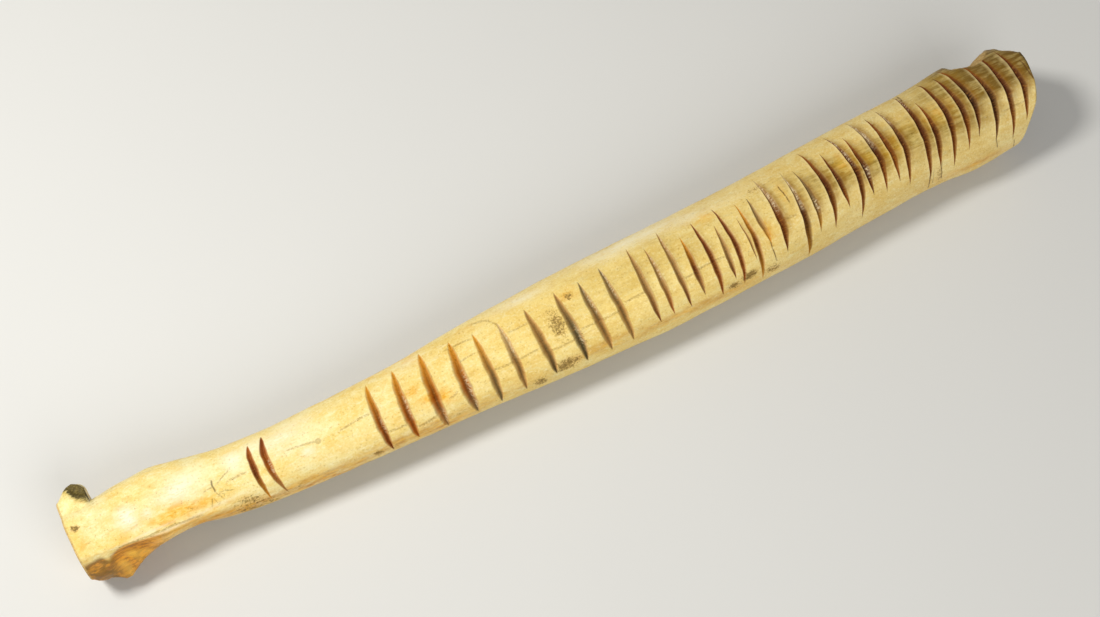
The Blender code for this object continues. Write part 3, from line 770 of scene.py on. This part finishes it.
def masks(skin, looks, start):
    """Everything that the material reads, one value to a point. The outside begins at the start point."""
    outside = looks["mask"].size

    def spread(name, blank=0):
        values = looks[name]
        whole = np.full((len(skin),) + values.shape[2:], blank, dtype=float)
        whole[start:start + outside] = values.reshape((outside,) + values.shape[2:])
        return whole

    x, y, z = skin.T
    drift = rough(skin, *ZONE_DRIFT)
    result = {
        "mask": spread("mask"),
        "rim": spread("rim"),
        # Painted shade beside the cuts, on the upper side
        "stain": spread("stain") * ease(y - curve(CREST_LINE, x / LENGTH), -5, 1),
        "broken": spread("broken", 1),
        "painted_glints": spread("painted_glints"),
        "scar": spread("scar", NO_HOLLOW),
        # Pale bone, and painted highlights near the crest, along the facet ridge and at the far edge
        "pale": np.clip(blobs(skin, PALE_AND_HIGHLIGHT_PATCHES) * (1 + 0.6 * drift), 0, 1),
        "amber": np.clip(blobs(skin, AMBER_PATCHES) * (1 + 0.35 * drift), 0, 1),
        "dirt": np.clip(blobs(skin, DIRT_PATCHES) * (1 + rough(skin, *DIRT_DRIFT)), 0, 1.6),
        # Painted light on the facet
        "light": blobs(skin, FACET_PAINTED_LIGHTS),
        # Painted brown shade where the facet turns down
        "facet": facet_zone(skin, drift),
        "olive": olive_zone(skin, drift),
        # Painted shade where the skin turns under the bone
        "under": ease(-(z + 0.5 * drift), 1.5, 5),
        "inside": np.concatenate((np.zeros(start + outside), np.ones(len(skin) - start - outside))),
    }
    for name, polylines in MARKS.items():
        result[name + "_off"], result[name + "_on"] = lines(skin, polylines)
    return result, spread("tint")


def add_object(name, data):
    thing = bpy.data.objects.new(name, data)
    bpy.context.scene.collection.objects.link(thing)
    return thing


def add_attribute(mesh, name, kind, field, values):
    """Gives every point of the mesh a value that the material can read."""
    data = mesh.attributes.new(name, kind, "POINT").data
    data.foreach_set(field, values.astype(np.float32).ravel())


def closed_points(rings):
    """Points of all rings, with the middle of the first before them and of the last after them."""
    return np.concatenate(([rings[0].mean(axis=0)], np.array(rings).reshape(-1, 3), [rings[-1].mean(axis=0)]))


def closed_faces(count, columns):
    """Quads between the rings, and a fan of triangles at each end."""
    here = np.arange(columns)
    after = (here + 1) % columns
    starts = 1 + columns * np.arange(count - 1)[:, None]
    ends = starts + columns
    quads = np.stack((ends + here, ends + after, starts + after, starts + here), axis=-1)
    last = 1 + columns * (count - 1)
    pairs = list(zip(here.tolist(), after.tolist()))
    first_fan = [(0, 1 + a, 1 + b) for a, b in pairs]
    last_fan = [(last + columns, last + b, last + a) for a, b in pairs]
    return quads.reshape(-1, 4).tolist() + first_fan + last_fan


def make_bone():
    """The bone as one closed mesh, from the middle of the joint face to the end of the marrow hollow."""
    angle = column_angles()
    outside, skin, looks = shaft(angle)
    face = end_rings(outside[0])
    inner = break_rings(outside[-1]) + marrow_rings(angle)
    rings = face + list(outside) + inner
    mesh = bpy.data.meshes.new("notched_bone_skin")
    mesh.from_pydata(to_world(closed_points(rings)).tolist(), [], closed_faces(len(rings), len(angle)))
    mesh.update()
    base = closed_points(face + list(skin) + inner)
    values, tint = masks(base, looks, 1 + len(face) * len(angle))
    for name, numbers in values.items():
        add_attribute(mesh, name, "FLOAT", "value", numbers)
    add_attribute(mesh, "own", "FLOAT_VECTOR", "vector", base)
    opaque = np.ones((len(tint), 1))
    add_attribute(mesh, "tint", "FLOAT_COLOR", "color", np.concatenate((tint, opaque), axis=1))
    mesh.shade_smooth()
    return add_object("carved_bone", mesh)


class Graph:
    """Short ways of writing one material's nodes. Its colour is built up in layers."""

    def __init__(self, name):
        self.material = bpy.data.materials.new(name)
        self.material.use_nodes = True
        self.tree = self.material.node_tree
        self.shader = self.tree.nodes["Principled BSDF"]

    def put(self, socket, value):
        """Links a socket to another, or sets it to a number, a vector or an sRGB colour."""
        if isinstance(value, bpy.types.NodeSocket):
            self.tree.links.new(value, socket)
        elif socket.type == "RGBA":
            socket.default_value = (*linear(value), 1)
        else:
            socket.default_value = value

    def node(self, kind, inputs=(), **settings):
        made = self.tree.nodes.new(kind)
        for key, value in settings.items():
            setattr(made, key, value)
        for key, value in dict(inputs).items():
            self.put(made.inputs[key], value)
        return made

    def read(self, name, output="Fac"):
        """A value that the mesh has at each point."""
        return self.node("ShaderNodeAttribute", attribute_name=name).outputs[output]

    def math(self, operation, *values):
        return self.node("ShaderNodeMath", enumerate(values), operation=operation).outputs[0]

    def vector(self, operation, *values, output=0):
        return self.node("ShaderNodeVectorMath", enumerate(values), operation=operation).outputs[output]

    def noise(self, where, scale, detail, roughness=0.55, distortion=0):
        inputs = {"Scale": scale, "Detail": detail, "Roughness": roughness, "Distortion": distortion}
        return self.node("ShaderNodeTexNoise", {"Vector": where, **inputs}).outputs["Fac"]

    def streaks(self, narrow, *settings):
        """Noise that is drawn out along the bone."""
        return self.noise(self.vector("MULTIPLY", self.own, (narrow, 1, 1)), *settings)

    def ease(self, value, low, high, start=0, end=1):
        """Start up to low, end from high on, and smooth between them."""
        made = self.node("ShaderNodeMapRange", interpolation_type="SMOOTHSTEP")
        for socket, number in zip(made.inputs, (value, low, high, start, end)):
            self.put(socket, number)
        return made.outputs[0]

    def mix(self, amount, first, second):
        made = self.node("ShaderNodeMix", data_type="RGBA")
        self.put(made.inputs[0], amount)
        self.put(made.inputs[6], first)
        self.put(made.inputs[7], second)
        return made.outputs[2]

    def lay(self, amount, colour):
        """Lays a colour over what is there already."""
        self.colour = self.mix(amount, self.colour, colour)

    def chain(self, operation, values):
        total = values[0]
        for value in values[1:]:
            total = self.math(operation, total, value)
        return total

    def times(self, *values):
        return self.chain("MULTIPLY", values)

    def plus(self, *values):
        return self.chain("ADD", values)

    def mark(self, name, width):
        """One on the lines of a set of marks."""
        off = self.math("ABSOLUTE", self.read(name + "_off"))
        return self.times(self.ease(off, width, 0.3 * width), self.read(name + "_on"))


def add_noises(g):
    """The place on the bone, in millimetres, and the noises that the layers share, drawn out along it."""
    g.own = g.read("own", "Vector")
    parts = g.node("ShaderNodeSeparateXYZ", {0: g.own})
    g.x = parts.outputs[0]
    g.y = parts.outputs[1]
    g.grain = g.streaks(0.12, 1.6, 6, 0.65, 0.4)
    g.fine = g.streaks(0.35, 3.4, 4, 0.65)
    g.cloud = g.streaks(0.6, 0.22, 5, 0.6)
    g.mottle = g.streaks(0.45, 0.9, 5, 0.65, 0.3)
    g.speck = g.noise(g.own, 2.4, 3, 0.7)


def lay_bone(g):
    """Cream at the joint end, then ivory, and tan towards the break, with warm and cool mottling."""
    darker = ((232, 206, 124), (228, 198, 112), (220, 190, 112))
    lighter = ((236, 222, 160), (236, 212, 134), (230, 206, 136))
    cream, ivory, tan = [g.mix(g.ease(g.cloud, 0.35, 0.65), *pair) for pair in zip(darker, lighter)]
    g.colour = g.mix(g.ease(g.x, 30, 95), cream, ivory)
    g.lay(g.ease(g.x, 110, 190), tan)
    warm = g.mix(g.ease(g.x, 60, 110), (230, 178, 64), (208, 168, 78))
    g.lay(g.times(g.ease(g.mottle, 0.5, 0.74), 0.42), warm)
    cool = g.mix(g.ease(g.x, 60, 110), (244, 236, 190), (226, 216, 160))
    g.lay(g.times(g.ease(g.mottle, 0.5, 0.3), 0.45), cool)
    g.lay(g.times(g.ease(g.grain, 0.55, 0.78), 0.4), (190, 148, 72))
    g.lay(g.times(g.ease(g.speck, 0.5, 0.74), 0.3), (188, 142, 66))
    g.lay(g.times(g.ease(g.speck, 0.5, 0.3), 0.3), (250, 242, 206))
    # Pale patches: pale bone, and painted highlights near the crest, along the facet ridge and at the far
    # edge
    g.lay(g.times(g.read("pale"), g.ease(g.fine, 0.3, 0.6, 0.45, 1)), (238, 232, 206))


def lay_olive(g):
    """Streaky olive and moss brown, darker at the break."""
    olive = g.times(g.read("olive"), g.ease(g.streak, 0.28, 0.58, 0.55, 1))
    moss = g.mix(g.ease(g.streak, 0.4, 0.64), (182, 160, 92), (146, 118, 50))
    moss = g.mix(g.times(g.ease(g.cloud, 0.46, 0.62), 0.6), moss, (190, 150, 40))
    moss = g.mix(g.ease(g.x, 188, 204, 0, 0.85), moss, (108, 80, 28))
    g.lay(olive, moss)


def lay_amber(g):
    """Amber patches, ochre ones low on the near side, and the painted shade that runs out to the right of the
    cuts.
    """
    ochre = g.mix(g.ease(g.streak, 0.38, 0.62), (230, 168, 48), (184, 116, 28))
    honey = g.mix(g.ease(g.mottle, 0.4, 0.62), (240, 194, 74), (226, 160, 40))
    amber = g.times(g.read("amber"), g.ease(g.mottle, 0.32, 0.62, 0.4, 1))
    g.lay(amber, g.mix(g.ease(g.y, -6, -7.8), honey, ochre))
    # Painted shade beside the cuts
    g.lay(g.times(g.read("stain"), g.ease(g.mottle, 0.25, 0.7, 0.5, 0.95)), BESIDE_SHADE_TINT)


def lay_facet(g):
    """Painted shade: brown on the facet, dusky at the joint face and tan under the bone, with painted light
    in places.
    """
    # Painted shade: brown where the facet turns down
    facet = g.read("facet")
    brown = g.mix(g.ease(g.streak, 0.4, 0.62), (220, 142, 16), (152, 86, 0))
    # Deeper painted shade near the joint face
    dusky_shade = g.times(g.ease(g.x, 7, 4.5), g.ease(g.mottle, 0.35, 0.6, 0.2, 0.9))
    brown = g.mix(dusky_shade, brown, (108, 72, 18))
    # Painted light: bright spots on the facet
    brown = g.mix(g.times(g.read("light"), 0.85), brown, (236, 180, 64))
    g.lay(g.times(facet, 0.9), brown)
    # Painted shade: tan on the underside of the bone
    g.lay(g.times(g.read("under"), 0.55), (196, 158, 88))


def lay_dirt(g):
    """Amber ground and grey silt in the dirty places, and dark pits."""
    where = g.node("ShaderNodeTexVoronoi", {"Vector": g.own, "Scale": 1.9})
    g.pits = g.times(g.ease(where.outputs["Distance"], 0.34, 0.16), g.ease(g.speck, 0.5, 0.62))
    g.dirt = g.read("dirt")
    grit = g.plus(g.speck, g.times(g.mottle, 0.6), g.times(g.dirt, 0.3))
    gritty = g.times(g.ease(g.dirt, 0.05, 0.6), g.ease(grit, 0.9, 1.12))
    silt = g.mix(g.ease(g.fine, 0.42, 0.58), (92, 74, 38), (146, 120, 66))
    g.lay(g.ease(g.dirt, 0, 1.4, 0, 0.55), (200, 144, 48))
    g.lay(g.times(gritty, 0.8), silt)
    g.lay(g.times(g.pits, g.plus(g.times(g.dirt, 0.7), 0.1)), (110, 84, 44))


def lay_marks(g):
    """Hairline cracks, the ring, the thin tails of a few cuts, and scratches."""
    faint = g.times(g.mark("scratch", 0.2), g.ease(g.speck, 0.35, 0.6, 0.15, 0.6))
    g.gash = g.math("MAXIMUM", g.mark("gash", 0.26), faint)
    ring = g.math("SUBTRACT", g.vector("DISTANCE", g.own, RING_PLACE, output="Value"), RING_RADIUS)
    ring = g.ease(g.math("ABSOLUTE", ring), 0.22, 0.05, 0, 0.8)
    cracks = g.times(g.mark("crack", 0.3), g.ease(g.speck, 0.35, 0.6, 0.2, 0.8))
    g.cracks = g.math("MAXIMUM", cracks, ring)
    g.tails = g.times(g.mark("tail", 0.2), g.ease(g.mottle, 0.3, 0.6, 0.4, 1))
    g.lay(g.times(g.cracks, 0.5), (136, 104, 50))
    g.lay(g.times(g.tails, 0.75), (96, 60, 22))
    g.lay(g.times(g.gash, 0.7), (92, 72, 44))


def lay_cuts(g):
    """Painted highlights on the rims, the tints of the cuts with lighter and darker grains, and painted pale
    glints.
    """
    # Painted highlight along the left rim of each cut
    g.lay(g.times(g.read("rim"), 0.7), (246, 226, 168))
    g.mask = g.read("mask")
    tint = g.read("tint", "Color")
    tint = g.mix(g.ease(g.fine, 0.48, 0.72, 0, 0.3), tint, (204, 140, 60))
    tint = g.mix(g.ease(g.speck, 0.52, 0.75, 0, 0.5), tint, (60, 28, 2))
    g.lay(g.times(g.mask, 0.97), tint)
    # Painted pale glints on the right walls of some cuts
    painted_glints = g.times(g.read("painted_glints"), g.ease(g.plus(g.speck, g.times(g.fine, 0.4)), 0.62, 0.82))
    g.lay(g.times(painted_glints, 0.7), (238, 222, 182))


def lay_breaks(g):
    """Raw bone where it broke, the crust of the process with a halo round it, and shade inside the bone."""
    broken = g.times(g.read("broken"), 0.75)
    g.lay(broken, g.mix(g.ease(g.speck, 0.35, 0.65), (172, 132, 72), (222, 190, 124)))
    scar = g.read("scar")
    dark = g.mix(g.ease(g.speck, 0.4, 0.65), (64, 52, 16), (130, 114, 64))
    edge = g.plus(scar, g.times(g.math("SUBTRACT", g.mottle, 0.5), 3))
    g.crust = g.times(g.ease(edge, -0.25, 0.25), g.ease(g.speck, 0.3, 0.5, 0.7, 1))
    halo = g.times(g.ease(edge, -1.5, 0.1), g.ease(g.fine, 0.4, 0.6, 0.25, 0.75))
    g.lay(halo, (150, 132, 50))
    g.lay(g.crust, dark)
    g.lay(g.times(g.read("inside"), g.ease(g.x, 211, 203), 0.6), (150, 112, 62))


def set_gloss(g):
    """Rougher where the bone is dirty, cut or broken."""
    roughness = g.plus(g.ease(g.noise(g.own, 0.5, 3), 0.3, 0.7, 0.3, 0.45), g.times(g.dirt, 0.25))
    roughness = g.plus(roughness, g.times(g.math("MAXIMUM", g.read("broken"), g.mask), 0.2))
    g.put(g.shader.inputs["Roughness"], roughness)
    g.shader.inputs["Specular IOR Level"].default_value = 0.13
    g.shader.inputs["IOR"].default_value = 1.5


def set_relief(g):
    """Fine relief in millimetres: grain and specks, with the marks and pits sunk into them."""
    height = g.plus(g.times(g.grain, 0.04), g.times(g.fine, 0.03), g.times(g.speck, 0.03))
    height = g.plus(height, g.times(g.speck, g.plus(g.times(g.dirt, 0.1), g.times(g.mask, 0.06))))
    marks = g.math("MAXIMUM", g.gash, g.math("MAXIMUM", g.cracks, g.tails))
    height = g.math("SUBTRACT", height, g.times(marks, 0.08))
    height = g.math("SUBTRACT", height, g.times(g.pits, 0.06))
    height = g.plus(height, g.times(g.speck, g.plus(g.read("broken"), g.crust), 0.14))
    relief = g.node("ShaderNodeBump", {"Strength": 1, "Distance": MM, "Height": height})
    g.put(g.shader.inputs["Normal"], relief.outputs[0])


def bone_material():
    """Worn old bone, in layers."""
    g = Graph("worn_bone")
    add_noises(g)
    lay_bone(g)
    g.streak = g.streaks(0.22, 1.1, 5, 0.65, 0.3)
    lay_olive(g)
    lay_amber(g)
    lay_facet(g)
    lay_dirt(g)
    lay_marks(g)
    lay_cuts(g)
    lay_breaks(g)
    g.put(g.shader.inputs["Base Color"], g.colour)
    set_gloss(g)
    set_relief(g)
    return g.material


FLOOR_HALF = 3
FLOOR_LEVEL = -0.00002


def floor_material():
    g = Graph("pale_floor")
    where = g.node("ShaderNodeTexCoord").outputs["Object"]
    tone = g.mix(g.noise(where, 9, 2), (204, 204, 202), (208, 208, 206))
    g.put(g.shader.inputs["Base Color"], tone)
    g.shader.inputs["Roughness"].default_value = 0.75
    return g.material


def add_floor():
    mesh = bpy.data.meshes.new("floor")
    corners = [(x * FLOOR_HALF, y * FLOOR_HALF, FLOOR_LEVEL) for x, y in ((-1, -1), (1, -1), (1, 1), (-1, 1))]
    mesh.from_pydata(corners, [], [(0, 1, 2, 3)])
    mesh.materials.append(floor_material())
    add_object("floor", mesh)


# The camera looks steeply down, and is turned so that the bone rises by 25 degrees in the picture
CAMERA_TILT = math.radians(70)
BONE_RISE = math.radians(25)
CAMERA_HEADING = math.atan2(math.sin(CAMERA_TILT), math.tan(BONE_RISE))
CAMERA_DISTANCE = 0.36
CAMERA_LENS = 58.909
AIM = Vector((-4.01, 1.31, 9.38)) * MM


def add_camera():
    data = bpy.data.cameras.new("camera")
    data.sensor_width = 36
    data.lens = CAMERA_LENS
    data.clip_start = 0.01
    camera = add_object("camera", data)
    flat = Vector((math.cos(CAMERA_HEADING), math.sin(CAMERA_HEADING), 0)) * math.cos(CAMERA_TILT)
    look = flat - Vector((0, 0, math.sin(CAMERA_TILT)))
    camera.location = AIM - look * CAMERA_DISTANCE
    camera.rotation_euler = look.to_track_quat("-Z", "Y").to_euler()
    bpy.context.scene.camera = camera


def add_light(name, place, aim, size, power, colour):
    """A round soft lamp that shines from a place towards its aim."""
    data = bpy.data.lights.new(name, "AREA")
    data.shape = "DISK"
    data.size = size
    data.energy = power
    data.color = colour
    light = add_object(name, data)
    light.location = place
    light.rotation_euler = (Vector(aim) - Vector(place)).to_track_quat("-Z", "Y").to_euler()


def add_lights():
    """A key lamp at the far left, a weaker and broader one in front, and a faint warm sky."""
    add_light("key", (-0.22, 0.12, 0.38), (-0.05, 0, 0), size=0.12, power=1.66, colour=(1, 0.98, 0.93))
    add_light("fill", (0.05, -0.5, 0.42), (0, 0, 0), size=0.5, power=2.1, colour=(1, 0.99, 0.96))
    world = bpy.data.worlds.new("studio")
    world.use_nodes = True
    sky = world.node_tree.nodes["Background"]
    sky.inputs["Color"].default_value = (1, 0.98, 0.94, 1)
    sky.inputs["Strength"].default_value = 0.25
    bpy.context.scene.world = world
    bpy.context.scene.view_settings.view_transform = "Standard"


bone = make_bone()
bone.data.materials.append(bone_material())
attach(bone, "root")
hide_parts("notched_bone")
add_floor()
add_camera()
add_lights()
